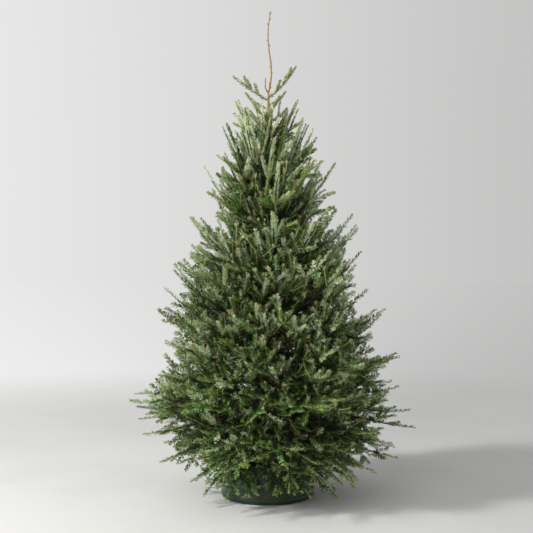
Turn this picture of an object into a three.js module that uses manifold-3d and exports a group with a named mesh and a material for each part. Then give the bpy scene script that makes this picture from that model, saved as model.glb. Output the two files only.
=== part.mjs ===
// A cut fir for Christmas, undecorated, standing in a round moulded stand.
//
// The trunk stands on the floor of the stand's water bowl and runs up whole to a long bare leader.
// The crown is eleven tiers of boughs. Each tier is split into masses of foliage: fan-shaped pads
// whose rims rise and fall from one bough tip to the next. The three lowest tiers have a bare core,
// where one bough runs from the trunk to each mass. Higher up the masses close round the trunk.
//
// Millimetres. +Z is up, -Y is the front and +X the right. The origin is the middle of the
// stand's flat underside.
import * as THREE from "three";
import { mergeVertices } from "three/addons/utils/BufferGeometryUtils.js";
import Module from "manifold-3d";

const wasm = await Module();
wasm.setup();

const CLEARANCE = 0.3; // between neighbours that touch
const TREE_TOP = 2290; // tip of the leader

const STAND = {
  footRadius: 213,
  bandRadius: 221, // the widest part, a band round the foot
  bandTop: 32,
  skirtRadius: 214, // just above the band
  shoulderRadius: 184,
  shoulderHeight: 158,
  deckHeight: 174,
  collarRadius: 106,
  collarTop: 206,
  bowlRadius: 92,
  floor: 6,
  wall: 4,
  segments: 26,
};

const SCREW = {
  count: 4,
  height: 190,
  radius: 5,
  padRadius: 10,
  padLength: 6,
  handleReach: 148,
  handleLength: 56,
  handleRadius: 4.5,
  sides: 8,
};

const TRUNK = {
  cut: STAND.floor + CLEARANCE, // the flat cut, resting on the bowl's floor
  buttRadius: 47,
  flare: 5, // how much wider the cut is than the butt above it
  flareHeight: 60,
  leaderFoot: 1905,
  leaderFootRadius: 7,
  leaderRadius: 4.6,
  tipRadius: 2.4,
  crownSway: 4,
  leaderSway: 13,
  leaderLean: 9,
  sides: 10,
  sectionLength: 190, // below the leader
  leaderSections: 9,
};

const BOUGH = { radii: [13, 11, 9], sides: 8 }; // from the trunk to the mass that the bough enters
const TOP_SHOOT = { radii: [4, 11, 13, 12, 4], sides: 8 }; // with the needles on it

// One row for each tier, from the lowest up: its height on the trunk, the height of its tips, how far
// those reach to the left and to the right, how many masses it is split into and how many tips it has.
// The first and the last row bound the crown and carry no foliage.
const TIERS = [
  { root: 215, tip: -30, left: 330, right: 390 },
  { root: 275, tip: 78, left: 390, right: 480, masses: 5, tips: 15, core: 165 },
  { root: 350, tip: 195, left: 520, right: 650, masses: 5, tips: 15, core: 190 },
  { root: 425, tip: 330, left: 625, right: 715, masses: 5, tips: 15, core: 175 },
  { root: 500, tip: 470, left: 670, right: 690, masses: 4, tips: 16 },
  { root: 580, tip: 650, left: 610, right: 640, masses: 4, tips: 16 },
  { root: 680, tip: 860, left: 545, right: 590, masses: 3, tips: 15 },
  { root: 800, tip: 1070, left: 480, right: 530, masses: 3, tips: 15 },
  { root: 960, tip: 1300, left: 400, right: 435, masses: 3, tips: 12 },
  { root: 1160, tip: 1550, left: 310, right: 345, masses: 2, tips: 10 },
  { root: 1400, tip: 1760, left: 225, right: 215, masses: 2, tips: 8 },
  { root: 1650, tip: 1880, left: 145, right: 140, masses: 1, tips: 5 },
  { root: 1850, tip: 1990, left: 110, right: 105 },
];
const TIER_TURN = 50; // degrees that each tier is turned past the one below
const BOUGH_CURVE = 1.45; // above 1, boughs leave the trunk flat and bend towards their tips

const MASS = {
  radialSteps: 3,
  gap: 14, // open slot between two masses of a tier
  trunkGap: 0.5, // between the trunk and a mass that closes round it
  rootFill: 0.55, // share of the room between the tiers that a mass fills at its root
  bodyFill: 0.92,
  rimFill: 0.3,
  edgeThinning: 0.25, // how much thinner its two edges are at the rim
  rootWidth: 0.32, // share of its full angle that a mass takes where its bough enters
  fullWidth: 0.3, // how far out it reaches its full angle
  notch: 0.2, // how deep the rim runs in between two tips
  tipSpread: 0.08, // how much the tips differ in reach
  unevenness: 0.22,
};

const colours = {
  bark: new THREE.MeshStandardMaterial({ color: 0x75604a, roughness: 0.85 }),
  foliage: new THREE.MeshStandardMaterial({ color: 0x3f5a33, roughness: 0.7 }),
  shoot: new THREE.MeshStandardMaterial({ color: 0x8b9a62, roughness: 0.7 }),
  stand: new THREE.MeshStandardMaterial({ color: 0x1f3b31, roughness: 0.35 }),
  steel: new THREE.MeshStandardMaterial({ color: 0x9a9c9e, roughness: 0.4, metalness: 0.9 }),
};

const tree = new THREE.Group();
tree.name = "fir_in_stand";

function addPiece(name, geometry, material) {
  const mesh = new THREE.Mesh(geometry, material);
  mesh.name = name;
  tree.add(mesh);
}

// ---- solids and cuts ----

function solidOf(geometry) {
  const bare = new THREE.BufferGeometry();
  bare.setAttribute("position", geometry.getAttribute("position"));
  bare.setIndex(geometry.index);
  const merged = mergeVertices(bare, 1e-3);
  return new wasm.Manifold(
    new wasm.Mesh({
      numProp: 3,
      vertProperties: merged.getAttribute("position").array,
      triVerts: new Uint32Array(merged.index.array),
    }),
  );
}

function geometryOf(solid) {
  const mesh = solid.getMesh();
  const positions = new Float32Array(mesh.numVert * 3);
  for (let i = 0; i < mesh.numVert; i++) {
    const start = i * mesh.numProp;
    positions.set(mesh.vertProperties.subarray(start, start + 3), i * 3);
  }
  return new THREE.BufferGeometry()
    .setAttribute("position", new THREE.BufferAttribute(positions, 3))
    .setIndex(new THREE.BufferAttribute(mesh.triVerts, 1));
}

// What is left of a solid after the cuts, without the empty slivers that a cut can leave.
function cut(geometry, ...cutters) {
  const left = cutters.reduce((solid, cutter) => solid.subtract(cutter), solidOf(geometry));
  const pieces = left.decompose().sort((a, b) => b.volume() - a.volume());
  return geometryOf(pieces[0]);
}

// Moves every vertex of a geometry to where place(vertex) puts it.
function reshape(geometry, place) {
  const position = geometry.getAttribute("position");
  const vertex = new THREE.Vector3();
  for (let i = 0; i < position.count; i++) {
    const moved = place(vertex.fromBufferAttribute(position, i));
    position.setXYZ(i, moved.x, moved.y, moved.z);
  }
  return geometry;
}

// ---- trunk ----

function trunkRadius(z) {
  const { cut: foot, buttRadius, flare, flareHeight, leaderFoot, leaderFootRadius } = TRUNK;
  if (z >= leaderFoot) {
    const share = (z - leaderFoot) / (TREE_TOP - leaderFoot);
    return TRUNK.leaderRadius + (TRUNK.tipRadius - TRUNK.leaderRadius) * share;
  }
  const taper = (z - foot) / (leaderFoot - foot);
  const swelling = flare * Math.exp(-(z - foot) / flareHeight);
  return buttRadius + (leaderFootRadius - buttRadius) * taper + swelling;
}

// How far the stem's centre lies from the Z axis at a height.
function trunkSway(z) {
  const up = Math.max(0, Math.min(1, (z - STAND.collarTop) / (TRUNK.leaderFoot - STAND.collarTop)));
  const along = Math.max(0, (z - TRUNK.leaderFoot) / (TREE_TOP - TRUNK.leaderFoot));
  const wave = TRUNK.leaderSway * Math.sin(2 * Math.PI * along) * (1 - 0.4 * along);
  return {
    x: TRUNK.crownSway * up * up + wave + TRUNK.leaderLean * along,
    y: TRUNK.crownSway * Math.sin(2 * Math.PI * up) + 0.5 * wave,
  };
}

function trunkShape(extra) {
  const heights = [];
  for (let z = TRUNK.cut; z < TRUNK.leaderFoot; z += TRUNK.sectionLength) heights.push(z);
  for (let i = 0; i <= TRUNK.leaderSections; i++) {
    heights.push(TRUNK.leaderFoot + ((TREE_TOP - TRUNK.leaderFoot) * i) / TRUNK.leaderSections);
  }
  const profile = heights.map((z) => new THREE.Vector2(trunkRadius(z) + extra, z));
  profile.unshift(new THREE.Vector2(0, TRUNK.cut - extra));
  profile[1].y -= extra;
  profile[profile.length - 1].y += extra;
  profile.push(new THREE.Vector2(0, TREE_TOP + extra));
  const geometry = new THREE.LatheGeometry(profile, TRUNK.sides).rotateX(Math.PI / 2);
  return reshape(geometry, (p) => {
    const { x, y } = trunkSway(p.z);
    return p.set(p.x + x, p.y + y, p.z);
  });
}

const roomForTrunk = solidOf(trunkShape(CLEARANCE / Math.cos(Math.PI / TRUNK.sides)));
addPiece("trunk", trunkShape(0), colours.bark);

// ---- limbs ----

// A limb along a curve, whose radii are spread evenly along it from root to tip. Its sections stand
// upright, so both its ends are upright faces.
function limb(curve, radii, sides) {
  const sections = radii.map((radius, i) => new THREE.Vector2(radius, i / (radii.length - 1)));
  const profile = [new THREE.Vector2(0, 0), ...sections, new THREE.Vector2(0, 1)];
  const up = new THREE.Vector3(0, 0, 1);
  return reshape(new THREE.LatheGeometry(profile, sides), (p) => {
    const centre = curve.getPoint(p.y);
    const side = curve.getTangent(p.y).cross(up).normalize();
    return centre.addScaledVector(side, p.x).addScaledVector(up, p.z);
  });
}

// ---- the crown ----

// The tiers' rows blended at a level, which is 1 at the lowest tier with foliage and rises by 1 a tier.
function tierAt(level) {
  const below = Math.max(0, Math.min(TIERS.length - 2, Math.floor(level)));
  const share = level - below;
  const blend = (key) => TIERS[below][key] * (1 - share) + TIERS[below + 1][key] * share;
  return { root: blend("root"), tip: blend("tip"), left: blend("left"), right: blend("right") };
}

function reachAt(row, azimuth) {
  const middle = (row.left + row.right) / 2;
  return middle + ((row.right - row.left) / 2) * Math.cos(azimuth);
}

function crownHeight(level, radius, azimuth) {
  const row = tierAt(level);
  const share = radius / reachAt(row, azimuth);
  return row.root + (row.tip - row.root) * Math.pow(share, BOUGH_CURVE);
}

// An even spread of numbers from 0 to 1 that looks irregular and is always the same.
function scatter(a, b, c) {
  const wave = Math.sin(a * 12.9898 + b * 78.233 + c * 37.719) * 43758.5453;
  return wave - Math.floor(wave);
}

// The share of the room between two tiers that a mass fills: along is 0 at its root and 1 at its rim,
// across is -1 and 1 at its two edges.
function fillAt(along, across) {
  const { rootFill, bodyFill, rimFill, edgeThinning } = MASS;
  const fill = along < 1 ? rootFill + (bodyFill - rootFill) * Math.min(1, along * 3) : rimFill;
  return fill * (1 - edgeThinning * across * across * along);
}

function azimuthOf(level, row, index) {
  return THREE.MathUtils.degToRad(TIER_TURN * level + (360 / row.masses) * index);
}

// Splits the squares of a box's underside along the diagonals of its top, so that the two don't cross
// where the box is bent and thin.
function matchDiagonals(box) {
  const underside = box.groups[5];
  const index = box.index.array;
  for (let i = underside.start; i < underside.start + underside.count; i += 6) {
    const [a, b, d, , c] = index.slice(i, i + 6);
    index.set([a, b, c, a, c, d], i);
  }
  return box;
}

// Moves a point of a mass onto the trunk. Its neighbours on the trunk stand a turn apart, and the
// straight edges between them clear the bark too.
function setOnTrunk(point, azimuth, z, turnApart) {
  const radius = (trunkRadius(z) + MASS.trunkGap) / Math.cos(turnApart / 2);
  const { x, y } = trunkSway(z);
  return point.set(x + radius * Math.cos(azimuth), y + radius * Math.sin(azimuth), z);
}

// A box whose X runs from root to rim, whose Y runs across and whose Z runs up, bent to the crown.
function foliageMass(level, row, index) {
  const middle = azimuthOf(level, row, index);
  const halfAngle = Math.PI / row.masses;
  const lobes = row.tips / row.masses;
  const box = new THREE.BoxGeometry(2, 2, 2, MASS.radialSteps, 2 * lobes, 1);
  return reshape(matchDiagonals(box), (p) => {
    const along = (p.x + 1) / 2;
    const across = p.y;
    const widening = Math.min(1, along / MASS.fullWidth);
    const width = row.core ? MASS.rootWidth + (1 - MASS.rootWidth) * widening : 1;
    const turn = across * halfAngle * width;
    const lobePlace = ((across + 1) / 2) * lobes;
    const notch = MASS.notch * (0.5 + 0.5 * Math.cos(2 * Math.PI * lobePlace));
    const spread = MASS.tipSpread * scatter(level, index, Math.floor(lobePlace));
    const reach = reachAt(row, middle + turn) * (1 - notch) * (1 - spread);
    const root = row.core ? row.core / Math.cos(turn) : trunkRadius(row.root);
    const radius = root + (reach - root) * along;
    const edge = Math.trunc(across);
    const azimuth = middle + turn - (edge * MASS.gap) / (2 * radius);
    const roughness = MASS.unevenness * along * scatter(level + p.z, index + along, lobePlace);
    const room = 0.5 * p.z * fillAt(along, across) * (1 - roughness);
    const height = crownHeight(level + room, radius, azimuth);
    if (along === 0 && !row.core) return setOnTrunk(p, azimuth, height, halfAngle / lobes);
    return p.set(radius * Math.cos(azimuth), radius * Math.sin(azimuth), height);
  });
}

function boughTo(level, row, index) {
  const azimuth = azimuthOf(level, row, index);
  const at = (radius) =>
    new THREE.Vector3(
      radius * Math.cos(azimuth),
      radius * Math.sin(azimuth),
      crownHeight(level, radius, azimuth),
    );
  const end = row.core - CLEARANCE;
  const start = trunkRadius(row.root) / 2;
  const curve = new THREE.QuadraticBezierCurve3(at(start), at((start + end) / 2), at(end));
  return limb(curve, BOUGH.radii, BOUGH.sides);
}

TIERS.forEach((row, level) => {
  if (!row.masses) return;
  for (let index = 0; index < row.masses; index++) {
    const place = `${level}_${index + 1}`;
    addPiece(`foliage_${place}`, foliageMass(level, row, index), colours.foliage);
    if (row.core) addPiece(`bough_${place}`, cut(boughTo(level, row, index), roomForTrunk), colours.bark);
  }
});

// The two long shoots of the topmost whorl, which rise on either side of the leader.
function topShoot(tipX, tipZ, rootZ, lift) {
  const foot = trunkSway(rootZ);
  const start = new THREE.Vector3(foot.x, foot.y, rootZ);
  const tip = new THREE.Vector3(tipX, 0, tipZ);
  const bend = new THREE.Vector3(tipX * 0.55, 0, rootZ + lift);
  const curve = new THREE.QuadraticBezierCurve3(start, bend, tip);
  return cut(limb(curve, TOP_SHOOT.radii, TOP_SHOOT.sides), roomForTrunk);
}

addPiece("top_shoot_left", topShoot(-160, 1985, 1862, 48), colours.shoot);
addPiece("top_shoot_right", topShoot(131, 2030, 1868, 58), colours.shoot);

// ---- stand ----

const screwTurns = Array.from({ length: SCREW.count }, (_, i) => ((i + 0.5) * 2 * Math.PI) / SCREW.count);

// A rod that runs outwards from the axis, at the screws' height.
function radialRod(radius, from, to, turn) {
  return new THREE.CylinderGeometry(radius, radius, to - from, SCREW.sides)
    .rotateZ(-Math.PI / 2)
    .translate((from + to) / 2, 0, SCREW.height)
    .rotateZ(turn);
}

function standShell() {
  const s = STAND;
  const bowlOutside = s.bowlRadius + s.wall;
  const profile = [
    [0, 0],
    [bowlOutside, 0],
    [bowlOutside, s.deckHeight - s.wall],
    [s.shoulderRadius - s.wall - 10, s.deckHeight - s.wall],
    [s.shoulderRadius - s.wall, s.shoulderHeight - s.wall],
    [s.skirtRadius - s.wall, s.bandTop],
    [s.footRadius - s.wall, 0],
    [s.footRadius, 0],
    [s.bandRadius - 2, 7],
    [s.bandRadius, 15],
    [s.bandRadius - 1, 24],
    [s.skirtRadius + 2, s.bandTop],
    [s.skirtRadius, s.bandTop + 2],
    [s.shoulderRadius, s.shoulderHeight],
    [s.shoulderRadius - 5, s.deckHeight - 5],
    [s.shoulderRadius - 15, s.deckHeight],
    [s.collarRadius + 6, s.deckHeight],
    [s.collarRadius, s.deckHeight + 6],
    [s.collarRadius, s.collarTop],
    [s.bowlRadius, s.collarTop],
    [s.bowlRadius, s.floor],
    [0, s.floor],
  ].map(([radius, z]) => new THREE.Vector2(radius, z));
  const shell = new THREE.LatheGeometry(profile, s.segments).rotateX(Math.PI / 2);
  const overrun = 20;
  const holeRadius = SCREW.radius + CLEARANCE / Math.cos(Math.PI / SCREW.sides);
  const holes = screwTurns.map((turn) =>
    solidOf(radialRod(holeRadius, s.bowlRadius - overrun, s.collarRadius + overrun, turn)),
  );
  return cut(shell, ...holes);
}

function clampScrew(turn) {
  const bark = trunkRadius(SCREW.height);
  const padEnd = bark + SCREW.padLength;
  const rod = solidOf(radialRod(SCREW.radius, bark, SCREW.handleReach, turn));
  const pad = solidOf(radialRod(SCREW.padRadius, bark * 0.7, padEnd, turn));
  const handle = solidOf(
    new THREE.CylinderGeometry(SCREW.handleRadius, SCREW.handleRadius, SCREW.handleLength, SCREW.sides)
      .translate(SCREW.handleReach, 0, SCREW.height)
      .rotateZ(turn),
  );
  return geometryOf(rod.add(pad).add(handle).subtract(roomForTrunk));
}

addPiece("stand_shell", standShell(), colours.stand);
screwTurns.forEach((turn, i) => addPiece(`clamp_screw_${i + 1}`, clampScrew(turn), colours.steel));

export default tree;
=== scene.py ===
import collections
import functools
import math

import bmesh
import bpy
import numpy as np
from bpy.props import FloatProperty, FloatVectorProperty, IntProperty, PointerProperty
from mathutils import Matrix, Vector, noise


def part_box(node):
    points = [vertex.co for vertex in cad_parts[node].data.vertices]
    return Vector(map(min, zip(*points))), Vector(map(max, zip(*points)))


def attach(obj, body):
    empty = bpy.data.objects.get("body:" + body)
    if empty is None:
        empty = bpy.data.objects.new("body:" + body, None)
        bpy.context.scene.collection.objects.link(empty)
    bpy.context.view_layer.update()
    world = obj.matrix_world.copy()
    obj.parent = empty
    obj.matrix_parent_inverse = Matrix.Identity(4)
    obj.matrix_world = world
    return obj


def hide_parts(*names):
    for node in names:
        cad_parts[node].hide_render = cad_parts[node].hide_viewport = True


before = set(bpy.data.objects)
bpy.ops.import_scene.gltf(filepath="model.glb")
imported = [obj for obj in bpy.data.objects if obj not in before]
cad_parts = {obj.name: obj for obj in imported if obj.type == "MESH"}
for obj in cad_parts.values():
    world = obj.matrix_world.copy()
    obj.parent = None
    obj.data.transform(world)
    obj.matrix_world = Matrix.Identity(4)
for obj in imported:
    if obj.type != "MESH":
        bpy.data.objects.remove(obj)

bl_info = {
    "name": "Cut fir in a stand",
    "version": (1, 0, 0),
    "blender": (4, 5, 0),
    "location": "3D View > Sidebar > Fir",
    "description": "Grows a fir's boughs, twigs and needles, and finishes its trunk and stand",
    "category": "Add Mesh",
}

UP = Vector((0, 0, 1))
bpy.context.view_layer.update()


# ---- what the frame gives ----

def node_points(names):
    """The vertices of some CAD nodes, as rows of x, y and z."""
    return np.array([v.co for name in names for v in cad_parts[name].data.vertices])


def nodes_of(start):
    """The names of the CAD nodes that start with some letters."""
    return [name for name in sorted(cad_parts) if name.startswith(start)]


TIER_COUNT = max(int(name.split("_")[1]) for name in nodes_of("foliage_"))
TOP_TIER = TIER_COUNT + 1  # the two long shoots beside the leader and the short ones below them
BOUGH_CURVE = 1.45  # above 1, boughs leave the trunk flat and bend towards their tips
WAYS = ((1, 0), (0, 1), (-1, 0), (0, -1))  # right, back, left and front
WITHIN_WAY = 0.7  # cosine of the angle from a way within which a point counts for its reach
RING_SPACING = 1e-4  # the trunk's points nearer in height than this are one ring


def read_tier(tier):
    """A tier's root height, tip height and reach along each of WAYS, from its nodes."""
    points = node_points(nodes_of(f"foliage_{tier}_") + nodes_of(f"bough_{tier}_"))
    radius = np.hypot(points[:, 0], points[:, 1])
    order = np.argsort(radius)
    tenth = len(order) // 10
    root = points[order[:tenth], 2].mean()
    rim = order[-tenth:]
    share = radius[rim].mean() / radius.max()
    tip = root + (points[rim, 2].mean() - root) / share**BOUGH_CURVE
    reaches = [radius[points[:, :2] @ way > WITHIN_WAY * radius].max() for way in WAYS]
    return [root, tip, *reaches]


TIERS = np.array([read_tier(tier) for tier in range(1, TIER_COUNT + 1)])


def tier_at(level):
    """The tiers' sizes blended at a level, where 1 is the lowest. Past the ends they run on."""
    below = min(max(int(level), 1), TIER_COUNT - 1)
    share = level - below
    return TIERS[below - 1] * (1 - share) + TIERS[below] * share


def reach_at(row, azimuth):
    """How far a row of TIERS reaches at an azimuth."""
    quarter = (azimuth / (math.pi / 2)) % 4
    way = int(quarter)
    reaches = row[2:]
    return reaches[way] + (reaches[(way + 1) % 4] - reaches[way]) * (quarter - way)


def read_trunk():
    """The trunk's rings, from the lowest up: height, centre's x, centre's y and radius."""
    points = np.unique(node_points(["trunk"]).round(5), axis=0)
    rings = []
    for height in np.unique(points[:, 2].round(4)):
        ring = points[abs(points[:, 2] - height) < RING_SPACING, :2]
        centre = ring.mean(0)
        rings.append([height, *centre, np.hypot(*(ring - centre).T).max()])
    return np.array(rings)


TRUNK = read_trunk()


def trunk_at(height):
    """The trunk's centre x, centre y and radius at a height."""
    return [float(np.interp(height, TRUNK[:, 0], TRUNK[:, i])) for i in (1, 2, 3)]


# ---- sizes and colours that a user would change ----

def length(name, description, default):
    return FloatProperty(name=name, description=description, default=default, min=0, unit="LENGTH")


def power(name, description, default):
    return FloatProperty(name=name, description=description, default=default, unit="POWER")


def colour(name, default):
    return FloatVectorProperty(
        name=name, description="Plain colour of " + name.lower(), subtype="COLOR",
        size=3, min=0, max=1, default=default,
    )


class CrownSettings(bpy.types.PropertyGroup):
    seed: IntProperty(name="Seed", description="Which of many like crowns is grown", default=487,
                      min=0)
    boughs: IntProperty(name="Boughs", description="Boughs round the trunk", default=320, min=10)
    growth: length("Yearly growth", "What a bough halfway up grows in a year", 0.102)
    twig_radius: length("Twig radius", "Radius of a twig in its first year", 0.0020)
    bud_length: length("Bud length", "Length of the bud on a top twig's tip", 0.012)
    young_bark: colour("Young twigs", (0.50, 0.39, 0.165))
    middle_bark: colour("Twigs in their second year", (0.21, 0.14, 0.057))
    old_bark: colour("Old twigs", (0.040, 0.025, 0.013))
    bud_scales: colour("Buds", (0.40, 0.29, 0.12))


class NeedleSettings(bpy.types.PropertyGroup):
    count: IntProperty(name="Needles", description="Needles on the whole tree", default=440000)
    needle_length: length("Needle length", "Length of a needle on a low bough", 0.0170)
    needle_width: length("Needle width", "Width of a needle", 0.0036)


# Each tint's name, and the colours of the needles' upper sides and undersides.
NEEDLE_TINTS = {
    # partly painted shade: the deep tint goes to shoots deep in the crown, partly the real green of
    # shade needles
    "deep": ("Deep needles", (0.022, 0.090, 0.008), (0.13, 0.23, 0.09)),
    "mid": ("Mid green needles", (0.052, 0.180, 0.016), (0.42, 0.58, 0.31)),
    "blue": ("Blue-green needles", (0.060, 0.160, 0.042), (0.60, 0.73, 0.50)),
    "fresh": ("Yellow-green needles", (0.175, 0.315, 0.038), (0.38, 0.50, 0.25)),
    "pale": ("Pale top needles", (0.29, 0.37, 0.13), (0.58, 0.64, 0.38)),
    # partly painted shade: the near-black old tint is partly the real darker green of old needles,
    # partly shade inside the sprays
    "old": ("Old dark needles", (0.011, 0.034, 0.005), (0.035, 0.060, 0.024)),
}
for tint, (name, upper, under) in NEEDLE_TINTS.items():
    NeedleSettings.__annotations__[tint + "_upper"] = colour(name, upper)
    NeedleSettings.__annotations__[tint + "_under"] = colour(name + "' undersides", under)


class StemSettings(bpy.types.PropertyGroup):
    relief: length("Bark relief", "How far the trunk's bark stands out and in", 0.0022)
    # partly painted shade: the trunk's bark colour is darkened beyond its own for the shade inside
    # the crown
    bark: colour("Bark", (0.075, 0.060, 0.042))
    bark_cracks: colour("Bark cracks", (0.055, 0.036, 0.025))
    bough_bark: colour("Bough bark", (0.060, 0.040, 0.027))
    leader_bark: colour("Leader bark", (0.40, 0.25, 0.10))


class StandSettings(bpy.types.PropertyGroup):
    ridge_pitch: length("Ridge pitch", "Height from one ridge of the skirt to the next", 0.0135)
    ridge_height: length("Ridge height", "How far a ridge stands out", 0.0004)
    stripe_radius: length("Stripe radius", "Half the width of the stripe round the foot", 0.0011)
    plastic: colour("Stand", (0.011, 0.036, 0.019))
    stripe: colour("Stripe", (0.36, 0.17, 0.07))
    steel: colour("Screws", (0.40, 0.41, 0.42))


class StageSettings(bpy.types.PropertyGroup):
    eye_height: length("Eye height", "Height of the camera, which looks level", 1.083)
    eye_distance: length("Eye distance", "From the camera to the trunk", 4.59)
    eye_offset: FloatProperty(name="Eye offset", default=-0.005, unit="LENGTH",
                              description="How far right of the trunk the camera is")
    lens: FloatProperty(name="Lens", description="Focal length", default=65.3, unit="CAMERA")
    bright_side: colour("Studio's bright side", (0.85, 0.85, 0.845))
    dim_side: colour("Studio's dim side", (0.50, 0.50, 0.495))
    ceiling: colour("Studio's ceiling", (0.38, 0.38, 0.38))
    floor: colour("Floor", (0.74, 0.74, 0.737))
    key_power: power("Key light", "Power of the key light", 400)
    key_size: length("Key light size", "Side of the square softbox", 0.85)
    fill_power: power("Fill light", "Power of the wide soft front light", 88)
    key_distance: length("Key light distance", "From the softbox to the middle of the tree", 7.0)


SETTINGS = {
    "fir_crown": CrownSettings,
    "fir_needles": NeedleSettings,
    "fir_stem": StemSettings,
    "fir_stand": StandSettings,
    "fir_stage": StageSettings,
}


# ---- materials ----

class Value:
    """A number that varies over a surface. Arithmetic on it adds Math nodes."""

    def __init__(self, finish, socket):
        self.finish = finish
        self.socket = socket

    def calculate(self, operation, *values):
        return self.finish.node("ShaderNodeMath", {"operation": operation}, dict(enumerate(values)))

    def __add__(self, other):
        return self.calculate("ADD", self, other)

    __radd__ = __add__

    def __rsub__(self, other):
        return self.calculate("SUBTRACT", other, self)

    def __mul__(self, other):
        return self.calculate("MULTIPLY", self, other)

    __rmul__ = __mul__


class Finish:
    """A node tree of a material or of the world."""

    def __init__(self, owner):
        owner.use_nodes = True
        self.owner = owner
        self.tree = owner.node_tree

    def node(self, kind, settings, inputs, output=0):
        """Adds a node: its settings first, then the values or links of its sockets."""
        node = self.tree.nodes.new(kind)
        for name, value in settings.items():
            setattr(node, name, value)
        for name, value in inputs.items():
            self.feed(node.inputs[name], value)
        return Value(self, node.outputs[output])

    def feed(self, socket, value):
        if isinstance(value, Value):
            self.tree.links.new(value.socket, socket)
        elif socket.type == "RGBA":
            socket.default_value = (*value, 1)
        else:
            socket.default_value = value

    def set(self, **sockets):
        """Feeds the Principled shader, whose sockets are named with _ for each space."""
        shader = self.tree.nodes["Principled BSDF"]
        for name, value in sockets.items():
            self.feed(shader.inputs[name.replace("_", " ")], value)

    def place(self):
        """The place on the piece, in metres."""
        return self.node("ShaderNodeTexCoord", {}, {}, "Object")

    def part(self, vector, axis):
        return self.node("ShaderNodeSeparateXYZ", {}, {"Vector": vector}, axis)

    def noise(self, scale, detail=4, roughness=0.55, stretch=(1, 1, 1)):
        """Noise between 0 and 1. A stretch below 1 draws it out along that axis."""
        place = self.node("ShaderNodeMapping", {}, {"Vector": self.place(), "Scale": stretch})
        inputs = {"Vector": place, "Scale": scale, "Detail": detail, "Roughness": roughness}
        return self.node("ShaderNodeTexNoise", {}, inputs, "Fac")

    def fade(self, value, start, end):
        """0 below start, 1 above end and smooth between."""
        return self.node("ShaderNodeMapRange", {"interpolation_type": "SMOOTHSTEP"},
                         {"Value": value, "From Min": start, "From Max": end})

    def mix(self, share, first, second):
        """Two colours mixed: the share of the second is share."""
        colours = {"Factor": share, 6: first, 7: second}
        return self.node("ShaderNodeMix", {"data_type": "RGBA"}, colours, 2)

    def bump(self, height, distance, strength=1.0):
        return self.node("ShaderNodeBump", {},
                         {"Height": height, "Distance": distance, "Strength": strength})


def scaled(tint, share, more=0):
    """A colour with each of its three values scaled, and more added."""
    return tuple(share * value + more for value in tint)


def new_finish(name, **sockets):
    """A new material's finish, with some of the Principled shader's sockets fed."""
    finish = Finish(bpy.data.materials.new(name))
    finish.set(**sockets)
    return finish


def plain_finish(name, tint, roughness):
    return new_finish(name, Base_Color=tint, Roughness=roughness).owner


SMOOTH_BELOW = (0.20, 0.06)  # how far below the leader's foot bark starts and ends turning smooth


def bark_finish(name, settings, bark, height_of_leader=None):
    """Bark with fine cracks and grey patches. Above the leader's foot it is smooth and golden."""
    finish = new_finish(name)
    cracks = finish.noise(95, detail=6, roughness=0.65, stretch=(1, 1, 0.35))
    patches = finish.noise(22, detail=3)
    specks = finish.noise(420, detail=2)
    crack_share = 1 - finish.fade(cracks, 0.34, 0.56)
    rough = finish.mix(crack_share, bark, settings.bark_cracks)
    grey = scaled(bark, 0.55, 0.5 * bark[0])
    rough = finish.mix(finish.fade(patches, 0.48, 0.72) * 0.65, rough, grey)
    relief = cracks + specks * 0.25
    if height_of_leader is None:
        finish.set(
            Base_Color=rough,
            Roughness=0.72 + 0.2 * patches,
            Normal=finish.bump(relief, 0.0022),
        )
        return finish.owner
    start, end = (height_of_leader - below for below in SMOOTH_BELOW)
    young = finish.fade(finish.part(finish.place(), "Z"), start, end)
    smooth = finish.mix(finish.fade(specks + 0.4 * patches, 0.5, 0.9), settings.leader_bark,
                        scaled(settings.leader_bark, 0.55))
    finish.set(
        Base_Color=finish.mix(young, rough, smooth),
        Roughness=0.86 - 0.28 * young + 0.1 * patches,
        Normal=finish.bump(relief * (1 - 0.8 * young), 0.0025),
    )
    return finish.owner


def plastic_finish(settings):
    """Moulded plastic: satin, with a faint grain, cloudy dust and streaky scuffs."""
    finish = new_finish("Green moulded plastic", Specular_IOR_Level=0.35)
    clouds = finish.noise(9, detail=3)
    grain = finish.noise(900, detail=2)
    scuffs = finish.fade(finish.noise(60, detail=5, stretch=(1, 1, 6)), 0.58, 0.75)
    dusty = scaled(settings.plastic, 1.5, 0.012)
    tone = finish.mix(finish.fade(clouds, 0.35, 0.7) * 0.5, settings.plastic, dusty)
    finish.set(
        Base_Color=finish.mix(scuffs * 0.3, tone, dusty),
        Roughness=0.30 + 0.12 * clouds + 0.15 * scuffs,
        Normal=finish.bump(grain + clouds * 0.6, 0.0004, 0.35),
    )
    return finish.owner


def stripe_finish(settings):
    """Copper-coloured foil, darker and duller where it is worn."""
    finish = new_finish("Copper stripe", Metallic=0.6)
    wear = finish.fade(finish.noise(140, detail=4), 0.45, 0.7)
    finish.set(
        Base_Color=finish.mix(wear, settings.stripe, scaled(settings.stripe, 0.45)),
        Roughness=0.35 + 0.25 * wear,
    )
    return finish.owner


def steel_finish(settings):
    """Zinc-plated steel with fine drawing lines along the thread and dull patches."""
    finish = new_finish("Plated steel", Metallic=1.0)
    patches = finish.noise(70, detail=4)
    lines = finish.noise(300, detail=3, stretch=(1, 1, 0.1))
    dull = finish.fade(patches, 0.4, 0.7)
    finish.set(
        Base_Color=finish.mix(dull, settings.steel, scaled(settings.steel, 0.6)),
        Roughness=0.28 + 0.25 * patches,
        Normal=finish.bump(lines, 0.0003, 0.3),
    )
    return finish.owner


# ---- pieces ----

def add_piece(name, mesh, materials, replaced=()):
    """A piece that rides on the tree, and takes the place of some CAD nodes."""
    piece = bpy.data.objects.new(name, mesh)
    bpy.context.scene.collection.objects.link(piece)
    for material in materials:
        mesh.materials.append(material)
    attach(piece, "root")
    if replaced:
        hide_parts(*replaced)


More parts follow.
